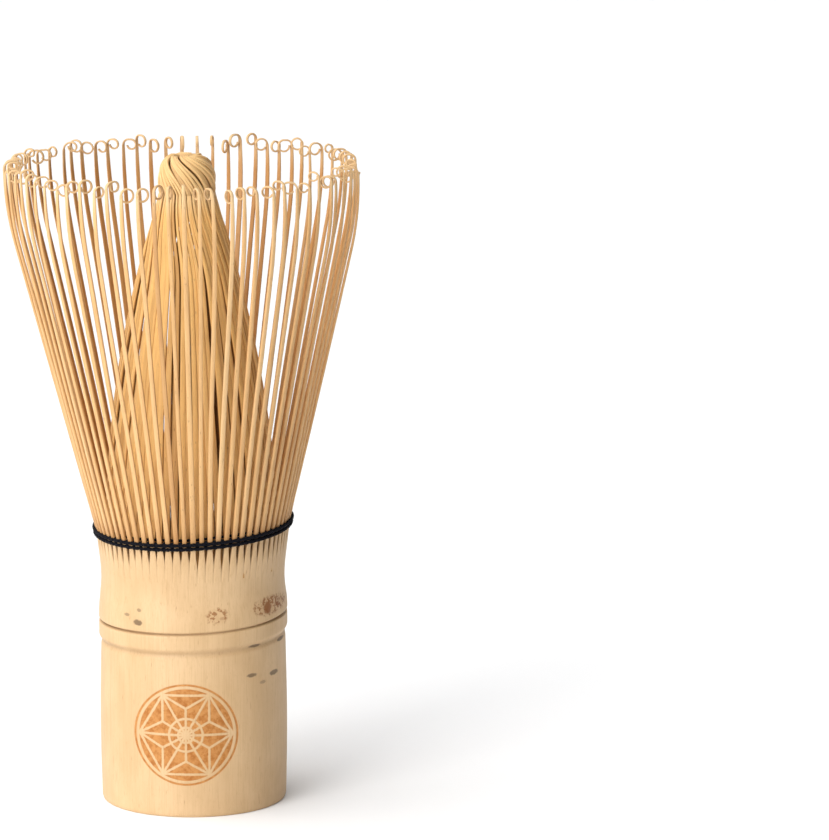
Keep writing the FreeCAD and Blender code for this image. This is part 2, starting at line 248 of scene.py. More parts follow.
def handle_rows(azimuth):
    """Radius and height along the profile, for every angle: rows by columns. Each leg of the
    profile is a run of rows, and only the outer leg follows the stem's own formula."""
    fine = 0.5 * (1 - np.cos(np.linspace(0, np.pi, 14)))
    outer_z = np.concatenate([FOOT_EDGE * fine[:6], np.linspace(0.5, 24.6, 52), np.linspace(24.9, 29.1, 34),
                              np.linspace(29.2, 31.9, 44), np.linspace(32.1, COMB_BOTTOM_Z, 22)])
    edge = 0.4 * (1 - np.sqrt(np.clip(1 - (1 - outer_z / FOOT_EDGE) ** 2, 0, 1))) * (outer_z < FOOT_EDGE)
    outer_r = culm_radius(outer_z[:, None], azimuth) - edge[:, None]
    corner = np.linspace(0.3, 1.57, 5)
    legs = [
        (np.linspace(0.3, BORE_RADIUS - BORE_CORNER, 9),
         WALL_BOTTOM_Z - 0.25 * np.cos(np.linspace(0, 1.57, 9)), 1),
        (BORE_RADIUS - BORE_CORNER * np.cos(corner), WALL_BOTTOM_Z - BORE_CORNER * np.sin(corner), 1),
        (np.full(14, BORE_RADIUS), np.linspace(WALL_BOTTOM_Z - 2.2, 0.25, 14), 1),
        (BORE_RADIUS + np.linspace(0.02, 2.9, 8), np.full(8, 0.0), 0.5),
        (outer_r, outer_z, 0),
        (np.array([COMB_INNER_RADIUS + 0.4, COMB_INNER_RADIUS]), np.full(2, COMB_BOTTOM_Z), 1),
        (COMB_INNER_RADIUS + (CAVITY_RADIUS - COMB_INNER_RADIUS) * np.linspace(0.1, 1, 8),
         np.linspace(COMB_BOTTOM_Z - 0.4, 33, 8), 1),
        (np.full(4, CAVITY_RADIUS), np.linspace(32, WALL_TOP_Z + 0.8, 4), 1),
        (np.linspace(CAVITY_RADIUS - 0.5, 0.3, 9), np.linspace(WALL_TOP_Z + 0.1, WALL_TOP_Z - 0.2, 9), 1),
    ]
    radius = np.concatenate([np.broadcast_to(r if r.ndim == 2 else r[:, None], (len(r), len(azimuth)))
                             for r, z, side in legs])
    height = np.concatenate([z for r, z, side in legs])
    inside = np.concatenate([np.full(len(z), side) for r, z, side in legs])
    return radius, height, inside


turn = np.linspace(0, 2 * np.pi, 320, endpoint=False)
handle_r, handle_z, handle_inside = handle_rows(turn)
handle_points = around(handle_r, turn, handle_z[:, None])
lower_groove, upper_groove = groove_depths(wandered(handle_z[:, None], turn), turn)
# painted shade: the grooves are darkened by their depth, the upper one most, and the inside gets none
groove_shade = (lower_groove * 1.1 + upper_groove * 2.3) * (handle_inside[:, None] == 0)
handle_skin = tubes_piece("handle_culm_skin", handle_points[None], lengths=handle_z[None],
                          values={"inside": handle_inside[None, :, None], "groove": groove_shade[None]},
                          sharp=50)
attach(handle_skin, "handle")
print("handle:", len(handle_skin.data.polygons), "faces")

# %% [markdown]
# ## The comb of strips
# Above the neck the wall is slit seventy-two times. Each slit starts as a hairline, opens into a
# narrow V and frees a thin inner tine, which is pushed inward behind the thread. The wood between
# two slits is the root of an outer tine. Each strip is drawn by its two edges: they touch their
# neighbours low down and draw apart above the point where their slit begins. Real slits never
# start level, so every slit has a start of its own.

# %% Cut the comb
GAP = 0.54          # width of a slit at the thread
STRIP_GAP = 0.06    # the strips stop this far under the thread's line, and the tines start above it


def thread_height(azimuth):
    """The slanted line of the thread: a plane through the hinges' own, higher towards +X, that
    also dips a little at the front."""
    return thread_middle + 0.3 + 0.95 * thread_rise * np.cos(azimuth) + 0.62 * np.sin(azimuth)


slit_starts = 41.0 + chance.normal(0, 0.45, TINES) + 0.35 * np.sin(slit_azimuths * 3 + 1)
slit_starts = np.clip(slit_starts, 39.9, 41.9)


def slit_half_angle(slit, height):
    """Half the slit's opening, as an angle: a hairline below its start, full width 3.4 mm above."""
    opening = GAP * smooth_step(slit_starts[slit], slit_starts[slit] + 3.4, height) ** 0.85
    hairline = 0.035 * smooth_step(slit_starts[slit] - 2.2, slit_starts[slit], height)
    return (opening + hairline) / 2 / culm_radius(height)


def comb_grid(rows):
    """Strips by rows by section points. A section is eleven points: up the left side, over a
    rounded skin, down the right side and back along the inside."""
    tine = np.arange(TINES)[:, None]
    top = thread_height(tine_azimuths)[:, None] - STRIP_GAP
    share = np.linspace(0, 1, rows)[None, :] ** 0.9
    height = COMB_BOTTOM_Z + (top - COMB_BOTTOM_Z) * share
    left = PITCH * tine + slit_half_angle(tine, height)
    right = PITCH * (tine + 1) - slit_half_angle((tine + 1) % TINES, height)
    middle, half = (left + right) / 2, (right - left) / 2
    thick = 0.9 - 0.4 * smooth_step(40.0, 44.5, height)
    thick = np.where(height < COMB_BOTTOM_Z + 0.01, 1.6, thick + 0.5 * (1 - smooth_step(38.6, 40.0, height)))
    round_over = 0.03 + 0.09 * smooth_step(0.0, 0.3, 1 - half * 2 / PITCH)
    across = np.array([-1, -1, -0.9, -0.5, 0, 0.5, 0.9, 1, 1, 0.9, -0.9])
    depth_share = np.array([0.5, 0, 0, 0, 0, 0, 0, 0, 0.5, 1, 1])
    edge_drop = np.array([0, 1, 0.25, 0, 0, 0, 0.25, 1, 0, 0, 0])
    angle = middle[..., None] + half[..., None] * across
    radius = culm_radius(height[..., None], angle) - thick[..., None] * depth_share
    radius = radius - round_over[..., None] * edge_drop
    return around(radius, angle, height[..., None]), height


comb_points, comb_heights = comb_grid(rows=22)
strip_tones = chance.normal(0, 1, TINES)
section_inside = np.array([0.6, 0, 0, 0, 0, 0, 0, 0, 0.6, 1, 1])
# painted shade in the slits: the side faces and the inside face darken as the slits open upward, and the
# skin's edges darken a little
section_shade = np.array([1, 0.2, 0, 0, 0, 0, 0, 0.2, 1, 0.6, 0.6])
comb_shade = section_shade * smooth_step(39.5, 42.0, comb_heights)[..., None]
comb_tone = strip_tones[:, None, None] * smooth_step(40.5, 44, comb_heights)[..., None]
comb = tubes_piece("handle_root_strips", comb_points, lengths=comb_heights,
                   values={"inside": section_inside[None, None, :], "groove": comb_shade, "tone": comb_tone})
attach(comb, "handle")
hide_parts("handle_culm")
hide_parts("handle_culm")
print("comb:", len(comb.data.polygons), "faces")

# %% [markdown]
# ## Paths by heading
# A bent splint is easiest to describe by its heading, the angle from upright, and how fast that
# turns. Adding up short steps along the heading gives the path. A table of points would look the
# same, but the lengths and turns of each stretch would be hidden in it.

# %% Add up steps along a heading
def heading_path(start_r, start_z, legs):
    """Radius and height of every station. The first leg is the heading at the start, and each
    later one is (length, turn, stations): its heading changes evenly by turn over its length.
    Lengths and turns are arrays with one value for each tine."""
    heading = legs[0]
    steps, headings = [], []
    for length, turning, count in legs[1:]:
        share = (np.arange(count) + 0.5) / count
        headings.append(heading[:, None] + turning[:, None] * share)
        steps.append(np.repeat(length[:, None] / count, count, 1))
        heading = heading + turning
    headings, steps = np.concatenate(headings, 1), np.concatenate(steps, 1)
    zero = np.zeros((len(start_r), 1))
    radius = start_r[:, None] + np.concatenate([zero, np.cumsum(steps * np.sin(headings), 1)], 1)
    height = start_z[:, None] + np.concatenate([zero, np.cumsum(steps * np.cos(headings), 1)], 1)
    length = np.concatenate([zero, np.cumsum(steps, 1)], 1)
    between = (headings[:, 1:] + headings[:, :-1]) / 2
    at_station = np.concatenate([headings[:, :1], between, headings[:, -1:]], 1)
    return radius, height, length, at_station


quarter_turn = [np.zeros(1), (np.full(1, math.pi / 2), np.full(1, math.pi / 2), 64)]
quarter_reach = heading_path(np.zeros(1), np.zeros(1), quarter_turn)[0][0, -1]
print("a quarter turn of radius 1 reaches", quarter_reach.round(3))

# %% [markdown]
# ## The body of a splint
# A planed splint has a rounded rectangle for its section. The same section follows every path, so
# one grid serves the outer and the inner tines. The curl at the end of an outer tine is a flat
# loop, and it may be turned about its corner.

# %% Sections along the paths
def splint_section(width, thick, columns, boxiness, crown):
    """A rounded rectangle round each station: a superellipse whose power is set by boxiness.
    The skin side, outward, is crowned a little. Returns offsets across and outward."""
    angle = 2 * np.pi * (np.arange(columns) + 0.5) / columns
    across = np.sign(np.cos(angle)) * np.abs(np.cos(angle)) ** boxiness
    outward = np.sign(np.sin(angle)) * np.abs(np.sin(angle)) ** boxiness
    outward = outward + crown * (outward > 0) * (1 - across ** 2)
    return width[..., None] / 2 * across, thick[..., None] / 2 * outward, (outward < 0.2).astype(float)


def splint_grid(radius, height, heading, azimuth, width, thick, swing, yaw=0.0, bend_at=0, **section):
    """Points of many tines. swing carries a tine sideways as it rises, in radians of azimuth.
    Past station bend_at the curl is yawed: it lies askew to the radial plane."""
    across, outward, pith = splint_section(width, thick, **section)
    corner = radius[:, bend_at:bend_at + 1]
    curled = np.arange(radius.shape[1])[None, :] > bend_at
    inward = np.where(curled, radius - corner, 0.0)
    direction = azimuth[:, None] + swing
    radial = np.stack([np.cos(direction), np.sin(direction), np.zeros_like(direction)], -1)
    beside = np.stack([-np.sin(direction), np.cos(direction), np.zeros_like(direction)], -1)
    up = np.array([0.0, 0.0, 1.0])
    turned = np.where(curled, yaw, 0.0)[..., None]
    plane = radial * np.cos(turned) + beside * np.sin(turned)
    side = beside * np.cos(turned) - radial * np.sin(turned)
    centre = radial * np.where(curled, corner, radius)[..., None] + plane * inward[..., None]
    centre = centre + up * height[..., None]
    skin = plane * np.cos(heading)[..., None] - up * np.sin(heading)[..., None]
    points = centre[:, :, None] + side[:, :, None] * across[..., None] + skin[:, :, None] * outward[..., None]
    return points, pith


def lean_left(points, roots, degrees):
    """The head leans to -X: each point moves by its height above its own root."""
    leaned = points.copy()
    leaned[..., 0] -= (points[..., 2] - roots[:, None, None]) * math.tan(math.radians(degrees))
    return leaned


def varied(share):
    """A factor near 1 for each tine: the size of a hand-made thing varies by about this share."""
    return (1 + share * chance.normal(0, 1, TINES))[:, None]


print("splint helpers ready")

# %% [markdown]
# ## The outer tines
# Each outer tine is planed thin, then drawn over a warm iron so that the tip curls inward. It
# holds the flare's angle, turns upright at the shoulder, then keeps turning inward round the
# curl. No two are alike, so flare, curl and twist all vary a little. Three corrections fit each
# path to the height and reach that its tip should have.

# %% Walk the outer tines
OUTER_LEAN = 1.25
STRAIGHT_ROWS, SHOULDER_ROWS = 24, 9
RIM_RADIUS, RIM_Z, SHOULDER_Z, CURL_Z = 28.3, 104.45, 91.4, 103.0
root_z = thread_height(tine_azimuths) + STRIP_GAP
root_r = culm_radius(root_z, tine_azimuths) - 0.25
straight = (SHOULDER_Z - root_z) / math.cos(math.radians(14))
flare = np.arcsin((RIM_RADIUS - 1.55 - root_r) / straight)
bow = np.radians(chance.normal(0, 0.8, TINES))
shoulder = 12.0 + chance.normal(0, 0.35, TINES)
first_bend = np.clip(chance.normal(0.92, 0.14, TINES), 0.65, 1.25)
second_bend = np.clip(chance.normal(0.86, 0.14, TINES), 0.6, 1.05)
flat_top = np.clip(chance.normal(0.18, 0.18, TINES), 0.02, 0.5)
curl_left = np.radians(np.clip(chance.normal(280, 32, TINES), 170, 320))
top_tilt = chance.normal(0, 0.12, TINES)
reach = RIM_RADIUS + np.clip(chance.normal(0, 0.28, TINES), -0.7, 0.12)
summit = RIM_Z + np.clip(chance.normal(0, 0.38, TINES), -0.9, 0.8)


def walk_tine(straight, flare):
    """The whole path: straight flare, shoulder, first bend, flat top and second bend."""
    return heading_path(root_r, root_z, [
        flare - bow / 2,
        (straight, bow, STRAIGHT_ROWS),
        (shoulder, -(flare + bow / 2), SHOULDER_ROWS),
        (first_bend * math.pi / 2, np.full(TINES, -math.pi / 2), 9),
        (flat_top, top_tilt, 3),
        (second_bend * curl_left, -curl_left, 20),
    ])


for correction in range(3):
    walked_r, walked_z = walk_tine(straight, flare)[:2]
    flare = flare + (reach - walked_r.max(1)) / (straight * np.cos(flare))
    straight = straight + (summit - walked_z.max(1)) / np.cos(flare)
tine_r, tine_z, tine_length, tine_heading = walk_tine(straight, flare)
print("tine lengths", tine_length[:, -1].min().round(1), "to", tine_length[:, -1].max().round(1), "mm")

# %% [markdown]
# Near the front and the back the curls lie over to the nearer side, by up to LIE_OVER degrees.
# The width and thickness shrink towards the tip, which is scraped the thinnest.

# %% Give the outer tines their bodies
LIE_OVER = 38
along = np.clip((tine_z - root_z[:, None]) / (CURL_Z - root_z[:, None]), 0, 1)
swing = (np.radians(chance.normal(0, 0.5, TINES))[:, None] * along ** 2
         + np.radians(chance.normal(0, 0.2, TINES))[:, None] * np.sin(along * np.pi * 2))
lie_over = -LIE_OVER * np.tanh(4 * np.cos(tine_azimuths)) * np.sin(tine_azimuths)
yaw = np.radians(np.clip(lie_over + chance.normal(0, 13, TINES), -48, 48))[:, None]
to_shoulder = tine_length[:, STRAIGHT_ROWS:STRAIGHT_ROWS + 1]
bent = np.clip((tine_length - to_shoulder) / (tine_length[:, -1:] - to_shoulder), 0, 1)
tine_width = 0.82 - 0.16 * along - 0.28 * smooth_step(0.3, 1.0, bent)
tine_width = tine_width * varied(0.06)
tine_thick = 0.50 - 0.16 * along - 0.09 * smooth_step(0.3, 0.85, bent)
tine_thick = tine_thick * varied(0.08)
tine_points, tine_pith = splint_grid(tine_r, tine_z, tine_heading, tine_azimuths, tine_width, tine_thick,
                                     swing, yaw, bend_at=STRAIGHT_ROWS + SHOULDER_ROWS,
                                     columns=12, boxiness=0.45, crown=0.25)
tine_points = lean_left(tine_points, root_z, OUTER_LEAN)
print("outer tips reach", tine_points[..., 2].max().round(2), "mm up")

# %% [markdown]
# Four neighbouring tines make one sector, which swings on one body. So each sector is one piece,
# and takes the place of the CAD node with the same four tines.

# %% Seat the outer tines on their bodies
tine_tones = chance.normal(0, 1, TINES)
for sector in range(SECTORS):
    mine = tine_sectors == sector
    number = f"{sector + 1:02d}"
    made = tubes_piece(f"outer_tine_set_{number}", tine_points[mine], lengths=tine_length[mine],
                       values={"tone": tine_tones[mine][:, None, None], "pith": tine_pith[None, None, :],
                               "along": along[mine][..., None]})
    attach(made, f"tines_{number}")
    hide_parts(f"outer_tines_{number}")
print("outer tines:", len(made.data.polygons) * SECTORS, "faces in", SECTORS, "pieces")

# %% [markdown]
# ## The inner tines and the knot
# The inner tines are the thin splints between the outer ones. They rise out of the slits, pass
# behind the thread and arch together. Near the top they are twisted into a whorl, and their tips
# wrap the top like wool round a ball. One path makes the whole splint, from slit to whorl, and it
# is cut in two at the collar, so that the cone and the knot meet with no step.

# %% Walk the inner tines up to the whorl
COLLAR_Z, TOP_Z = 99.5, 105.45
FREE_Z, INNER_LEAN = 43.0, 0.5      # the inner tines are free of the slits above FREE_Z
ARCH = np.array([[38.9, 14.62], [41.0, 14.66], [43.4, 14.16], [46.5, 13.85], [52, 13.3], [59.2, 12.6],
                 [66.4, 11.6], [73.4, 10.45], [80.2, 9.1], [86.8, 7.65], [92, 6.35], [96.5, 5.1],
                 [COLLAR_Z, 4.32]])


def smooth_through(height, knots):
    """A smooth curve through the knots: cubic Hermite spans whose slopes are the slopes between
    each knot's two neighbours."""
    z, r = knots[:, 0], knots[:, 1]
    slope = np.gradient(r, z)
    span = np.clip(np.searchsorted(z, height) - 1, 0, len(z) - 2)
    width = z[span + 1] - z[span]
    t = np.clip((height - z[span]) / width, 0, 1)
    return ((2 * t ** 3 - 3 * t ** 2 + 1) * r[span] + (t ** 3 - 2 * t ** 2 + t) * width * slope[span]
            + (3 * t ** 2 - 2 * t ** 3) * r[span + 1] + (t ** 3 - t ** 2) * width * slope[span + 1])


inner_rows = 40
inner_z = np.broadcast_to(ARCH[0, 0] + (COLLAR_Z - ARCH[0, 0]) * np.linspace(0, 1, inner_rows) ** 1.05,
                          (TINES, inner_rows))
rise = (inner_z - FREE_Z) / (COLLAR_Z - FREE_Z)
inside_cone = np.clip(rise, 0, 1)
spread = chance.normal(0, 0.33, TINES)[:, None] * np.sin(np.pi * inside_cone) ** 1.3
inner_r = smooth_through(inner_z, ARCH) + spread
inner_r -= 0.3 * np.clip(chance.normal(0.3, 0.6, TINES), 0, 1.5)[:, None] * inside_cone ** 3
inner_heading = np.arctan2(np.gradient(inner_r, axis=1), np.gradient(inner_z, axis=1))
TWIST = math.radians(-16)
inner_swing = (np.radians(chance.normal(0, 0.7, TINES))[:, None] * np.sin(np.pi * inside_cone)
               + np.radians(chance.normal(0, 1.5, TINES))[:, None] * inside_cone ** 2
               + TWIST * smooth_step(0.72, 1.0, inside_cone) ** 1.5)
room = PITCH * smooth_through(inner_z, ARCH)
inner_width = np.minimum(0.42 + 0.66 * smooth_step(-0.03, 0.03, rise), room)
inner_width = inner_width * varied(0.08)
inner_thick = (0.42 - 0.10 * inside_cone) * varied(0.1)
inner_points, inner_pith = splint_grid(inner_r, inner_z, inner_heading, slit_azimuths, inner_width,
                                       inner_thick, inner_swing, columns=8, boxiness=0.5, crown=0.2)
lean_roots = np.array([FREE_Z])
inner_points = lean_left(inner_points, lean_roots, INNER_LEAN)
inner_tones = chance.normal(0, 1, TINES)
for sector in range(SECTORS):
    mine = slit_sectors == sector
    number = f"{sector + 1:02d}"
    made = tubes_piece(f"inner_tine_set_{number}", inner_points[mine], lengths=inner_z[mine],
                       values={"tone": inner_tones[mine][:, None, None], "pith": inner_pith[None, None, :],
                               "along": inside_cone[mine][..., None]})
    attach(made, "handle")
    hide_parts(f"inner_tines_{number}")
print("inner tines:", len(made.data.polygons) * SECTORS, "faces")

# %% [markdown]
# The whorl is drawn on a flattened ball. Each strand climbs from the collar to the crown while
# its azimuth swings round, slowly at first. Strands lie in bundles at different depths, which
# gives the dark folds between them.

# %% Wrap the knot
KNOT_RADIUS, KNOT_WAIST_Z = 4.2, 101.3
knot_rows = 34
climb = np.linspace(0, 1, knot_rows)[None, :]
low_angle = math.asin((COLLAR_Z - KNOT_WAIST_Z) / (TOP_Z - KNOT_WAIST_Z))
latitude = low_angle + (math.radians(86) - low_angle) * climb
bundle = np.arange(TINES) // 3
bundle_depth = np.clip(chance.normal(0.14, 0.22, TINES // 3), -0.1, 0.55)[bundle % (TINES // 3)]
strand_depth = bundle_depth + 0.12 * chance.random(TINES)
settle = smooth_step(0.0, 0.25, climb)
knot_lift = (0.16 - strand_depth[:, None]) * settle
whorl_turn = math.radians(-105) * (1 + 0.10 * chance.normal(0, 1, TINES // 3)[bundle])
knot_swing = (inner_swing[:, -1:] + whorl_turn[:, None] * climb ** 1.55
              + np.radians(chance.normal(0, 3, TINES))[:, None] * np.sin(np.pi * climb))
shape = np.cos(latitude) ** 0.62
knot_r = (KNOT_RADIUS + knot_lift) * shape
knot_r = knot_r + (inner_r[:, -1:] - knot_r[:, :1]) * (1 - settle)
knot_z = KNOT_WAIST_Z + (TOP_Z - KNOT_WAIST_Z + knot_lift) * np.sin(latitude)
knot_z = knot_z + (COLLAR_Z - knot_z[:, :1]) * (1 - settle)
knot_z = np.minimum(knot_z, TOP_Z - 0.16 - 0.5 * (1 - smooth_step(0, 2.2, knot_r)))
knot_azimuth = slit_azimuths[:, None] + knot_swing


def free_splints(centre, outward, width, thick, **section):
    """Points of splints along any path: the section's across direction is square to the path
    and to the outward direction given for every station."""
    ahead = np.gradient(centre, axis=1)
    side = unit(np.cross(ahead, outward))
    skin = unit(np.cross(side, ahead))
    across, lift, pith = splint_section(width, thick, **section)
    points = centre[:, :, None] + side[:, :, None] * across[..., None] + skin[:, :, None] * lift[..., None]
    return points, pith


knot_centre = around(knot_r, knot_azimuth, knot_z)
knot_out = unit(around(knot_r, knot_azimuth, (knot_z - KNOT_WAIST_Z) * 1.3))
knot_taper = 1 - 0.55 * smooth_step(0.75, 1, climb)
knot_width = inner_width[:, -1:] * (1 + 0.35 * np.sin(np.pi * climb)) * knot_taper
knot_thick = np.broadcast_to(inner_thick[:, -1:] * (1 + 0.3 * settle), knot_width.shape)
knot_points, knot_pith = free_splints(knot_centre, knot_out, knot_width, knot_thick, columns=8, boxiness=0.55,
                                      crown=0.3)
knot_points = lean_left(knot_points, lean_roots, INNER_LEAN)
knot_lengths = np.broadcast_to(100 + 9 * climb, knot_z.shape)
knot = tubes_piece("inner_tip_whorl", knot_points, lengths=knot_lengths,
                   values={"tone": inner_tones[:, None, None], "pith": knot_pith[None, None, :],
                           "along": np.ones((1, 1, 1)), "depth": strand_depth[:, None, None]})
core_turn = np.linspace(0, 2 * np.pi, 48, endpoint=False)
core_latitude = np.linspace(-1.0, 1.5, 22)
core_r = (KNOT_RADIUS - 0.55) * np.cos(core_latitude) ** 0.7
core_z = KNOT_WAIST_Z + (TOP_Z - KNOT_WAIST_Z - 0.75) * np.sin(core_latitude)
core_points = around(core_r[:, None], core_turn, core_z[:, None])[None]
core_points = lean_left(core_points, lean_roots, INNER_LEAN)
core = tubes_piece("inner_tip_whorl_heart", core_points, lengths=core_z[None])
for made in (knot, core):
    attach(made, "handle")
    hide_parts("inner_tip_knot")
print("knot:", len(knot.data.polygons), "faces, top at", knot_points[..., 2].max().round(2))

# %% [markdown]
# ## The thread
# The thread is black cotton, twined: two strands go round together, one outside each tine while
# the other is inside, and they change places in every gap with a half turn. Two such rows make
# the band. The path is a circle whose radius steps in and out. A sine with its top and bottom
# pressed flat gives that step, and it crosses zero in the middle of each gap.

# %% Twine the thread
STRAND_RADIUS = 0.29
ROW_HEIGHTS = (-0.36, 0.34)


def walked_lengths(points):
    """How far each point is along the line of points."""
    return np.concatenate([[0], np.cumsum(np.linalg.norm(np.diff(points, axis=0), axis=1))])


def twined_strand(row_height, phase, samples, stations):
    """One closed strand. side is +1 outside a tine and -1 inside it. The strand climbs a little
    where it goes in and drops where it comes out, so that it passes its partner."""
    angle = np.linspace(0, 2 * np.pi, samples, endpoint=False)
    wave = np.sin(angle * TINES / 2 + phase)
    side = wave / np.sqrt(wave ** 2 + 0.018)
    crossing = 1 - side ** 2
    going_in = -np.sign(np.cos(angle * TINES / 2 + phase))
    slope = np.tan(math.radians(14)) if row_height > 0 else 0.13
    middle = culm_radius(thread_height(angle)) - 0.25 + row_height * slope
    radius = middle + side * 0.5
    height = thread_height(angle) + row_height + 0.14 * crossing * going_in
    dense = around(radius, angle, height)
    dense = np.concatenate([dense, dense[:1]])
    walked = walked_lengths(dense)
    even = np.linspace(0, walked[-1], stations, endpoint=False)
    return np.stack([np.interp(even, walked, dense[:, axis]) for axis in range(3)], -1), walked[-1], even


YARN_COLUMNS, LAY = 8, 1.5


def yarn_grid(centre, walked, radius, slack=None):
    """A two-ply yarn: an oval section that turns once every LAY millimetres of its path."""
    ahead = unit(np.roll(centre, -1, 0) - np.roll(centre, 1, 0))
    side = unit(np.cross(ahead, np.array([0.0, 0.0, 1.0])))
    up = np.cross(side, ahead)
    angle = 2 * np.pi * np.arange(YARN_COLUMNS) / YARN_COLUMNS
    turns = round(walked[-1] / LAY) * 2 * np.pi * np.arange(len(centre)) / len(centre)
    size = radius * (0.93 + 0.11 * np.cos(2 * (angle[None, :] - turns[:, None])))
    if slack is not None:
        size = size * slack[:, None]
    return (centre[:, None] + side[:, None] * (size * np.cos(angle))[..., None]
            + up[:, None] * (size * np.sin(angle))[..., None])


thread_total = 0.0
for row, (row_height, nodes) in enumerate(zip(ROW_HEIGHTS, (("thread_turn_1", "thread_turn_2"),
                                                            ("thread_turn_3",)))):
    strands, lengths = [], []
    for phase in (0.0, math.pi):
        centre, length, walked = twined_strand(row_height, phase, samples=22000, stations=1500)
        slack = 1 + 0.05 * np.sin(walked * 0.9 + row + phase) * np.sin(walked * 0.31)
        strands.append(yarn_grid(centre, walked, STRAND_RADIUS, slack=slack))
        lengths.append(walked)
        thread_total += length
    made = tubes_piece(f"thread_row_{row + 1}", np.stack(strands), closed=True, lengths=np.stack(lengths),
                       sharp=80)
    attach(made, "handle")
    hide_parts(*nodes)
print(f"thread: {thread_total:.0f} mm of yarn in {len(ROW_HEIGHTS)} twined rows")

# %% [markdown]
# Between the two rings of tines the yarn goes once more round behind the outer roots. It shows
# only in the gaps, as short black teeth over the band.

# %% Lay the turn behind the roots
BEHIND_RADIUS, BEHIND_DEPTH, BEHIND_LIFT = 0.24, 0.70, 0.98
circle = np.linspace(0, 2 * np.pi, 900, endpoint=False)
behind_z = thread_height(circle) + BEHIND_LIFT + 0.05 * np.sin(9 * circle)
behind_r = culm_radius(thread_height(circle)) - BEHIND_DEPTH + 0.02 * np.sin(36 * circle)
behind = around(behind_r, circle, behind_z)
behind_length = walked_lengths(behind)
made = tubes_piece("thread_row_3", yarn_grid(behind, behind_length, BEHIND_RADIUS)[None], closed=True,
                   lengths=behind_length[None], sharp=80)
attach(made, "handle")
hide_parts("thread_turn_3")
print(f"behind the roots: {behind_length[-1]:.0f} mm")

# %% [markdown]
# ## Shader maths as expressions
# A material is a graph of nodes, and most of its nodes do arithmetic. The class below wraps one
# socket. An expression on wrapped sockets adds the Math nodes, so a pattern can be read as a
# formula. Any other node comes from its method `node`, and colours go through `mix`.

# %% A wrapped socket
class Wire:
    """One output socket of a material's node tree, with arithmetic."""

    def __init__(self, tree, socket):
        self.tree = tree
        self.socket = socket

    def node(self, kind, settings=None, inputs=None, output=0):
        """Any node: its settings are set first, then its sockets, by name or by place."""
        made = self.tree.nodes.new(kind)
        for name, value in (settings or {}).items():
            setattr(made, name, value)
        for place, value in (inputs or {}).items():
            if isinstance(value, Wire):
                self.tree.links.new(value.socket, made.inputs[place])
            elif made.inputs[place].type == "RGBA":
                made.inputs[place].default_value = (*value, 1)
            else:
                made.inputs[place].default_value = value
        return Wire(self.tree, made.outputs[output])

    def math(self, operation, *others):
        values = dict(enumerate((self, *others)))
        return self.node("ShaderNodeMath", {"operation": operation}, values)

    def __add__(self, other):
        return self.math("ADD", other)

    def __mul__(self, other):
        return self.math("MULTIPLY", other)

    def __sub__(self, other):
        return self.math("SUBTRACT", other)

    def __truediv__(self, other):
        return self.math("DIVIDE", other)

    def __rsub__(self, other):
        return self.node("ShaderNodeMath", {"operation": "SUBTRACT"}, {0: other, 1: self})

    def __pow__(self, other):
        return self.math("POWER", other)

    def __abs__(self):
        return self.math("ABSOLUTE")

    __radd__ = __add__
    __rmul__ = __mul__

    def above(self, low, high):
        """0 below low, 1 above high, with a smooth blend between."""
        settings = {"interpolation_type": "SMOOTHSTEP"}
        return self.node("ShaderNodeMapRange", settings, {0: self, 1: low, 2: high, 3: 0.0, 4: 1.0})

    def mix(self, below, over):
        """A colour: below where this mask is 0, over where it is 1."""
        settings = {"data_type": "RGBA"}
        return self.node("ShaderNodeMix", settings, {0: self, 6: below, 7: over}, output=2)

    def times(self, scale):
        """This vector with each part multiplied."""
        return self.node("ShaderNodeVectorMath", {"operation": "MULTIPLY"}, {0: self, 1: scale})

    def noise(self, scale, detail, roughness=0.5):
        """Noise between 0 and 1 at this vector."""
        inputs = {"Vector": self, "Scale": scale, "Detail": detail, "Roughness": roughness}
        return self.node("ShaderNodeTexNoise", inputs=inputs)


print("sockets can be added, multiplied and mixed")

# %% [markdown]
# Every material starts with the same shader and two maps, and ends with the same few links. Noise
# is read from the place in the piece's own space, or from the grain map of a splint.

# %% Start and finish a material
def start_material(name):
    """A new material and three wires: its shader, its place in millimetres, and its grain map,
    whose first part runs round a section and second part runs along it in millimetres."""
    material = bpy.data.materials.new(name)
    material.use_nodes = True
    tree = material.node_tree
    tree.nodes.clear()
    shader = Wire(tree, tree.nodes.new("ShaderNodeBsdfPrincipled").outputs[0])
    output = tree.nodes.new("ShaderNodeOutputMaterial")
    tree.links.new(shader.socket, output.inputs["Surface"])
    place = shader.node("ShaderNodeTexCoord", output="Object").times((1000, 1000, 1000))
    grain = shader.node("ShaderNodeUVMap", {"uv_map": "grain"})
    return material, shader, place, grain


def finish_material(shader, colour, roughness, height=None, bump=0.3, distance=0.0001, constants=None):
    """Feed the shader: what varies through links, and constants on its own sockets. height is in
    units of distance, in metres."""
    principled = shader.socket.node
    values = {"Base Color": colour, "Roughness": roughness}
    if height is not None:
        inputs = {"Strength": bump, "Distance": distance, "Height": height}
        values["Normal"] = shader.node("ShaderNodeBump", inputs=inputs)
    for name, value in values.items():
        if isinstance(value, Wire):
            shader.tree.links.new(value.socket, principled.inputs[name])
        else:
            principled.inputs[name].default_value = value
    for name, value in (constants or {}).items():
        principled.inputs[name].default_value = value


def named_value(shader, label):
    """A value stored on the mesh under this name."""
    return shader.node("ShaderNodeAttribute", {"attribute_name": label}, output="Fac")


def parts_of(vector):
    """The three parts of a vector."""
    return [vector.node("ShaderNodeSeparateXYZ", inputs={0: vector}, output=axis) for axis in range(3)]


print("shader helpers ready")
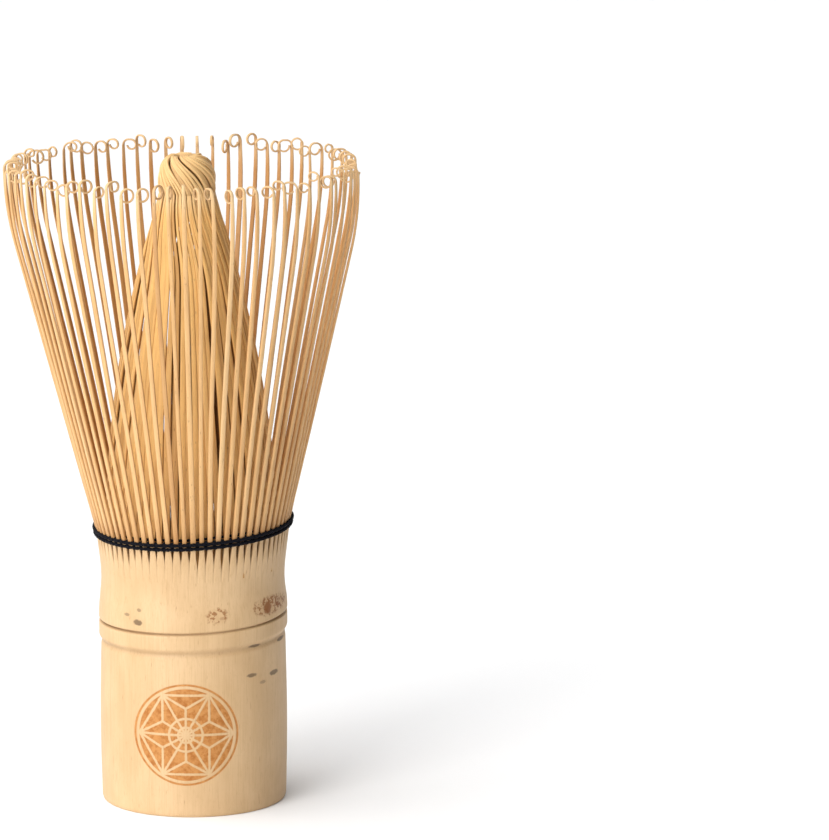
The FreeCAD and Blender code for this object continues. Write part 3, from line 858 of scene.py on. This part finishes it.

# %% [markdown]
# ## Bamboo skin
# Scraped bamboo is pale straw with fine fibres that run its whole length, so every noise here is squeezed
# across the stem and stretched along it. On top come soft mottling, short pore dashes, painted shade in the
# two grooves and in the slits, and the darker dotted end grain where the foot is sawn.

# %% Colour the culm
STRAW_LIGHT, STRAW, STRAW_DEEP = (0.68, 0.466, 0.254), (0.61, 0.404, 0.208), (0.47, 0.280, 0.120)
SCAR_BROWN, STAIN_BROWN = (0.26, 0.080, 0.008), (0.14, 0.083, 0.038)


def culm_colour(place, inside, groove, tone):
    """Straw with fibres, mottling and pores, painted shade in the grooves and the slits, and end grain on the
    foot.
    """
    fine = place.times((1, 1, 0.022)).noise(5.5, detail=3, roughness=0.6)
    broad = place.times((1, 1, 0.05)).noise(0.75, detail=2)
    cloud = place.times((1, 1, 0.6)).noise(0.16, detail=3)
    pores = place.times((1, 1, 0.1)).noise(4.2, detail=1).above(0.70, 0.80)
    skin = cloud.above(0.3, 0.75).mix(STRAW_LIGHT, STRAW)
    grit = place.times((1, 1, 0.4)).noise(3.2, detail=3, roughness=0.7)
    skin = (broad.above(0.5, 0.85) * 0.22).mix(skin, STRAW_DEEP)
    skin = (fine.above(0.45, 0.8) * 0.46).mix(skin, STRAW_DEEP)
    skin = (grit.above(0.5, 0.8) * 0.30).mix(skin, STRAW_DEEP)
    skin = (pores * 0.4).mix(skin, SCAR_BROWN)
    skin = (tone.above(-2.0, 2.5) * abs(tone).above(0, 0.4) * 0.25).mix(skin, STRAW_DEEP)
    # painted shade: the skin is darkened brown in the grooves
    skin = (groove * 0.75).mix(skin, (0.25, 0.14, 0.062))
    bundles = place.node("ShaderNodeTexVoronoi", inputs={"Vector": place, "Scale": 1.5, "Randomness": 0.8})
    ends = (1 - bundles.above(0.12, 0.34)).mix((0.66, 0.46, 0.25), (0.25, 0.13, 0.055))
    pith = (fine.above(0.4, 0.75) * 0.4).mix((0.66, 0.48, 0.27), (0.45, 0.27, 0.11))
    cut = inside.above(0.75, 0.95).mix(ends, pith)
    # painted shade on the cut faces in the slits
    cut = (groove * 0.7).mix(cut, (0.27, 0.14, 0.055))
    return inside.above(0.2, 0.45).mix(skin, cut), fine, broad, pores


print("straw, deep straw and scar:", STRAW, STRAW_DEEP, SCAR_BROWN)

# %% [markdown]
# ## Stains and scars
# Water stains and old leaf scars are small spots on the front of the handle, each with a place of
# its own. A spot is an oval with an edge made ragged by noise. A blotch is also broken into
# speckles, and a core is a solid patch of rust inside one.

# %% Place the spots and scars
# each is x, z, half width and half height in millimetres, and a strength
SPOTS = [(-8.4, 31.7, 0.75, 0.5, 0.8), (-10.2, 32.7, 0.45, 0.3, 0.5), (-8.2, 33.7, 0.4, 0.3, 0.5),
         (10.2, 27.4, 1.0, 0.26, 0.8), (14.2, 27.1, 0.5, 0.3, 0.8), (9.8, 22.7, 0.8, 0.34, 0.7),
         (13.2, 22.2, 0.65, 0.45, 0.8), (11.5, 21.2, 0.5, 0.3, 0.4)]
BLOTCHES = [(12.6, 33.5, 2.6, 1.6, 1.0), (4.5, 33.1, 1.9, 1.4, 0.8), (14.0, 33.6, 0.7, 0.6, 1.4)]
CORES = [(12.3, 33.3, 0.62, 1.15, 0.92), (5.4, 32.7, 0.7, 0.3, 0.35)]


def spot_mask(place, spot, ragged):
    """1 in the middle of an oval spot, fading over a ragged edge. front keeps it off the back."""
    x, y, z = parts_of(place)
    centre_x, centre_z, wide, tall, strength = spot
    squared = ((x - centre_x) / wide) ** 2 + ((z - centre_z) / tall) ** 2
    front = (y * -1).above(0, 1)
    return (1 - (squared + ragged).above(0.35, 1.3)) * front * strength


def stained(colour, place):
    """Add the spots and the two speckled blotches."""
    ragged = place.noise(1.6, detail=4, roughness=0.7) * 1.5 - 0.75
    speckle = place.noise(1.5, detail=2, roughness=0.6)
    total = None
    for spot in SPOTS:
        mask = spot_mask(place, spot, ragged)
        total = mask if total is None else total + mask
    colour = (total * 1.15).math("MINIMUM", 0.85).mix(colour, STAIN_BROWN)
    for spot in CORES:
        colour = spot_mask(place, spot, ragged).mix(colour, SCAR_BROWN)
    for spot in BLOTCHES:
        mask = spot_mask(place, spot, ragged * 1.3) * (speckle.above(0.47, 0.58) + 0.14)
        colour = (mask * 0.85).math("MINIMUM", 0.85).mix(colour, SCAR_BROWN)
    return colour


print(len(SPOTS), "stains,", len(BLOTCHES), "speckled blotches and", len(CORES), "scars")

# %% [markdown]
# ## The burned mark
# The front of the grip carries a burned roundel. Its pattern here is the hemp leaf, a star that
# has decorated Japanese woodwork for centuries. It has six equal wedges, each with a mirror line, so
# the angle is folded into one half wedge and a few straight lines are drawn there.

# %% Draw the hemp-leaf roundel
MARK_X, MARK_Z, MARK_RADIUS = -0.75, 13.7, 8.35
BURN_LIGHT, BURN_DARK = (0.53, 0.205, 0.032), (0.37, 0.120, 0.015)


def hemp_leaf(place):
    """1 where the mark is burned. X and Y are the place in the folded wedge, and each line is the
    set of points whose distance from a straight line is small."""
    x, y, z = parts_of(place)
    across, up = x - MARK_X, z - MARK_Z
    distance = (across ** 2 + up ** 2) ** 0.5
    wedge = math.radians(60)
    angle = up.math("ARCTAN2", across) + math.radians(30 + 360)
    folded = abs(angle.math("MODULO", wedge) - wedge / 2)
    wedge_x = distance * folded.math("COSINE")
    wedge_y = distance * folded.math("SINE")
    star = MARK_RADIUS * 0.90
    sine, cosine = 0.5, math.sqrt(3) / 2
    vein = abs(wedge_x * sine - wedge_y * cosine) + distance.above(star * 0.56, star * 0.6) * 9
    rib = abs(wedge_y)
    edge = abs((wedge_x - star) * sine + wedge_y * cosine)
    side = abs(wedge_x * cosine + wedge_y * sine - star * cosine)
    heart = abs(distance - 1.25)
    inner_ring = abs(distance - star * 0.36)
    nearest = rib
    for line in (vein, edge, side, heart, inner_ring):
        nearest = nearest.math("MINIMUM", line)
    wobble = place.noise(2.2, detail=2) * 0.12 - 0.06
    lines = (nearest + wobble).above(0.13, 0.25)
    disc = 1 - (distance + wobble).above(star - 0.02, star + 0.12)
    ring = 1 - (abs(distance - MARK_RADIUS + 0.15) + wobble).above(0.1, 0.24)
    front = (y * -1).above(1, 3)
    return (lines * disc).math("MAXIMUM", ring) * front


material, shader, place, grain = start_material("bamboo_skin")
inside, groove, tone = (named_value(shader, label) for label in ("inside", "groove", "tone"))
colour, fine, broad, pores = culm_colour(place, inside, groove, tone)
burned = hemp_leaf(place)
char = place.noise(1.1, detail=4, roughness=0.7).above(0.35, 0.7)
colour = stained(colour, place)
colour = (burned * (0.80 + 0.18 * char)).mix(colour, char.mix(BURN_LIGHT, BURN_DARK))
relief = fine * 0.3 + broad * 0.25 - pores * 0.5 - burned * 0.8
gloss = 0.47 + fine * 0.12 + burned * 0.2 + inside.above(0.2, 0.45) * 0.25
finish_material(shader, colour, gloss, relief, bump=0.5, distance=0.00006,
                constants={"Specular IOR Level": 0.42})
bamboo_skin = material
print("bamboo skin:", len(material.node_tree.nodes), "nodes")

# %% [markdown]
# ## Split bamboo
# A tine keeps a strip of the stem's skin on its outward face, which is smooth and straw coloured.
# Its sides and back are the inner wood, which is browner and shows the fibres as fine lines. The
# fibres run along the tine, so the noise is drawn on the grain map, whose second part is the
# length along the tine. Every tine has a tone of its own, because each came from its own place.

# %% Finish the tines
def own_grain(grain, tone, stretch):
    """The grain map drawn out into fibres and shifted by the tine's tone, so no two are alike."""
    shift = grain.node("ShaderNodeCombineXYZ", inputs={0: tone * 7, 1: 0.0, 2: tone * 3})
    drawn_out = {0: grain.times((9, stretch, 1)), 1: shift}
    return grain.node("ShaderNodeVectorMath", {"operation": "ADD"}, drawn_out)


def split_bamboo(name, skin, wood, deep, dulled=0.5):
    """Skin on the outward face, wood on the others, with fibres, flecks, a tone per tine and painted shade at
    each tine's foot.
    """
    material, shader, place, grain = start_material(name)
    tone, pith, along = (named_value(shader, label) for label in ("tone", "pith", "along"))
    spot = own_grain(grain, tone, 0.10)
    fibres = spot.noise(2.4, detail=3, roughness=0.65)
    patch = spot.times((0.15, 1, 1)).noise(0.9, detail=2)
    fleck = spot.times((1, 3.5, 1)).noise(2.8, detail=1).above(0.68, 0.78)
    colour = (pith * 0.85).mix(skin, wood)
    colour = (fibres.above(0.4, 0.8) * (0.3 + pith * 0.35)).mix(colour, deep)
    colour = (patch.above(0.45, 0.8) * 0.3).mix(colour, deep)
    colour = (tone.above(0.2, 2.6) * 0.4).mix(colour, deep)
    colour = ((tone * -1).above(0.2, 2.6) * 0.3).mix(colour, (0.78, 0.58, 0.33))
    colour = (along.above(0.93, 1.0) * 0.4).mix(colour, (0.74, 0.57, 0.33))
    # painted shade at each tine's foot: just above the thread on the outer tines, and in the slits and behind
    # the thread on the inner ones
    colour = ((1 - along.above(0.0, 0.07)) * 0.55).mix(colour, deep)
    colour = (fleck * 0.5).mix(colour, (0.19, 0.09, 0.03))
    finish_material(shader, colour, dulled + fibres * 0.18, fibres, bump=0.35, distance=0.00003,
                    constants={"Specular IOR Level": 0.4})
    return material


outer_bamboo = split_bamboo("tine_bamboo", (0.71, 0.430, 0.185), (0.52, 0.250, 0.075), (0.35, 0.14, 0.034))
inner_bamboo = split_bamboo("inner_tine_bamboo", (0.78, 0.455, 0.150), (0.46, 0.190, 0.040),
                            (0.28, 0.105, 0.024), dulled=0.55)
print("split bamboo:", len(outer_bamboo.node_tree.nodes), "nodes")

# %% [markdown]
# ## The whorl
# The knot is the same bamboo, but handled and twisted when wet. The strands that lie deeper get painted
# shade, and the heart seen between them is a dark core painted as the shade inside the knot.

# %% Finish the whorl
def whorl_bamboo():
    """The inner tines' bamboo with painted shade on the sunken bundles."""
    material, shader, place, grain = start_material("whorl_bamboo")
    tone, pith, depth = (named_value(shader, label) for label in ("tone", "pith", "depth"))
    spot = own_grain(grain, tone, 0.35)
    fibres = spot.noise(2.4, detail=3, roughness=0.65)
    colour = (pith * 0.6).mix((0.77, 0.51, 0.225), (0.54, 0.285, 0.09))
    colour = (fibres.above(0.4, 0.8) * 0.45).mix(colour, (0.33, 0.15, 0.045))
    colour = (tone.above(0.2, 2.6) * 0.35).mix(colour, (0.36, 0.17, 0.05))
    # painted shade: the deeper a strand lies, the browner it is
    colour = (depth.above(0.22, 0.5) * 0.7).mix(colour, (0.22, 0.085, 0.02))
    finish_material(shader, colour, 0.5 + fibres * 0.2, fibres, bump=0.4, distance=0.00003,
                    constants={"Specular IOR Level": 0.4})
    return material


knot_bamboo = whorl_bamboo()
# painted shade: the heart is a dark core that stands for the shade between the whorl's strands, mottled a
# little
material, shader, place, grain = start_material("whorl_heart_painted_shade")
heart_mottle = place.noise(1.5, detail=3)
finish_material(shader, heart_mottle.above(0.35, 0.7).mix((0.36, 0.18, 0.06), (0.20, 0.09, 0.028)), 0.8,
                heart_mottle, bump=0.3, distance=0.0001)
heart_painted_shade = material
print("whorl:", len(knot_bamboo.node_tree.nodes), "nodes")

# %% [markdown]
# ## Black cotton
# Dyed cotton is very dark and dull, with a soft bloom along its edge from loose fibres. The plies are in the
# mesh. The fibres of each ply are too fine for that: they are slanted lines on the grain map, drawn with a
# wave across it. The crests of that wave and the fuzz get a painted highlight, a slightly lighter black.

# %% Finish the thread
material, shader, place, grain = start_material("black_cotton")
ply_u, ply_v = parts_of(grain)[:2]
strands = ((ply_u * 2 + ply_v / 0.55) * (2 * math.pi)).math("SINE") * 0.5 + 0.5
fuzz = grain.times((8, 3, 1)).noise(3.0, detail=3, roughness=0.7)
# painted highlight: a slightly lighter black on the crests of the ply wave and on the fuzz
colour = (strands * 0.6 + fuzz.above(0.5, 0.85) * 0.6).mix((0.002, 0.002, 0.004), (0.007, 0.007, 0.013))
finish_material(shader, colour, 0.84 + fuzz * 0.1, strands * 0.7 + fuzz * 0.5, bump=0.6,
                distance=0.00005,
                constants={"Specular IOR Level": 0.12, "Sheen Weight": 0.02, "Sheen Roughness": 0.5})
black_cotton = material
print("cotton:", len(material.node_tree.nodes), "nodes")

# %% [markdown]
# ## Every piece gets its finish
# The imported model names a material slot for each kind of surface, and the table below lists that slot
# beside each finish. The pieces are given the finish here; the slot is not used.

# %% Dress the pieces
DRESSING = {"handle_culm_skin": (bamboo_skin, "bamboo_handle"),
            "handle_root_strips": (bamboo_skin, "bamboo_handle"),
            "outer_tine_set": (outer_bamboo, "bamboo_tines"),
            "inner_tine_set": (inner_bamboo, "bamboo_inner_tines"),
            "inner_tip_whorl": (knot_bamboo, "bamboo_knot"),
            "inner_tip_whorl_heart": (heart_painted_shade, "bamboo_knot"),
            "thread_row": (black_cotton, "cotton_thread")}
dressed = 0
for piece in list(bpy.context.scene.objects):
    stem = piece.name.rstrip("0123456789").rstrip("_")
    if stem in DRESSING:
        finish, slot = DRESSING[stem]
        piece.data.materials.clear()
        piece.data.materials.append(finish)
        dressed += 1
print("dressed", dressed, "pieces")

# %% [markdown]
# ## The table
# A plain pale sweep: a floor that curves up into a backdrop a long way behind. It is one strip
# carried along a profile of a straight, an arc and a straight.

# %% Lay the sweep
SWEEP_START, SWEEP_RADIUS = 1900.0, 600.0
arc = np.linspace(0, math.pi / 2, 24)
sweep_y = np.concatenate([[-2500.0], SWEEP_START + SWEEP_RADIUS * np.sin(arc), [SWEEP_START + SWEEP_RADIUS]])
sweep_z = np.concatenate([[0.0], SWEEP_RADIUS * (1 - np.cos(arc)), [3000.0]])
sweep_x = np.array([-2500.0, 2500.0])
sweep_points = np.stack([np.broadcast_to(sweep_x[None, :], (len(sweep_y), 2)),
                         np.broadcast_to(sweep_y[:, None], (len(sweep_y), 2)),
                         np.broadcast_to(sweep_z[:, None], (len(sweep_y), 2))], -1).reshape(-1, 3)
row = np.arange(len(sweep_y) - 1)[:, None] * 2
sweep = mesh_piece("studio_sweep", sweep_points, [row + np.array([0, 1, 3, 2])])
material, shader, place, grain = start_material("studio_paper")
finish_material(shader, (0.88, 0.88, 0.88, 1), 0.9, constants={"Emission Strength": 0.06})
sweep.data.materials.append(material)
print("sweep:", len(row), "quads")

# %% [markdown]
# ## Light
# Catalogue light: a surround that is bright on the left and dim on the right, one large soft source
# at the left front that models the stem, and a wide scrim overhead that keeps the table white. The
# size of an area light sets how soft its shadows are, and so does the angle of a sun.

# %% Set the lights
def softbox(name, place, target, size, power, colour):
    """A square area light at a place, turned so that its -Z axis points at the target."""
    data = bpy.data.lights.new(name, "AREA")
    data.shape, data.size = "SQUARE", size * MM
    data.energy, data.color = power, colour
    light = bpy.data.objects.new(name, data)
    light.location = np.array(place) * MM
    way = light.location - type(light.location)(np.array(target) * MM)
    light.rotation_euler = way.to_track_quat("Z", "Y").to_euler()
    bpy.context.scene.collection.objects.link(light)
    return light


MIDDLE = (0, 0, 55)
softbox("key_softbox", (-470, -690, 360), MIDDLE, 420, 4.9, (1.0, 0.985, 0.965))
overhead = bpy.data.objects.new("overhead_scrim", bpy.data.lights.new("overhead_scrim", "SUN"))
overhead.data.energy = 2.1
overhead.data.angle = math.radians(70)
overhead.rotation_euler = (math.radians(12), math.radians(-18), 0)
bpy.context.scene.collection.objects.link(overhead)
world = bpy.data.worlds.new("studio_surround")
world.use_nodes = True
surround = world.node_tree.nodes["Background"]
direction = Wire(world.node_tree, surround.outputs[0]).node("ShaderNodeTexCoord", output="Generated")
side = parts_of(direction)[0].above(-0.75, 0.45)
gradient = side.mix((0.82, 0.83, 0.84), (0.07, 0.07, 0.075))
world.node_tree.links.new(gradient.socket, surround.inputs["Color"])
surround.inputs["Strength"].default_value = 1.0
bpy.context.scene.world = world
bpy.context.scene.view_settings.view_transform = "Standard"

# %% [markdown]
# ## Camera
# A long lens from well back keeps the stem's sides nearly straight. The camera looks down a
# little, which opens the ring of tips into an ellipse. It aims beside the whisk, because the
# whisk stands left of the middle of the frame.

# %% Place the camera
AIM = np.array([35.9, 0.0, 62.25])
DISTANCE, ELEVATION, LENS = 960.0, math.radians(11.1), 255.2
camera = bpy.data.objects.new("camera", bpy.data.cameras.new("camera"))
camera.data.lens, camera.data.sensor_width, camera.data.sensor_height = LENS, 36, 36
camera.data.sensor_fit = "AUTO"
camera.data.clip_end = 20
camera.location = (AIM + DISTANCE * np.array([0, -math.cos(ELEVATION), math.sin(ELEVATION)])) * MM
camera.rotation_euler = (math.pi / 2 - ELEVATION, 0, 0)
bpy.context.scene.collection.objects.link(camera)
bpy.context.scene.camera = camera
print("camera at", [round(value, 3) for value in camera.location])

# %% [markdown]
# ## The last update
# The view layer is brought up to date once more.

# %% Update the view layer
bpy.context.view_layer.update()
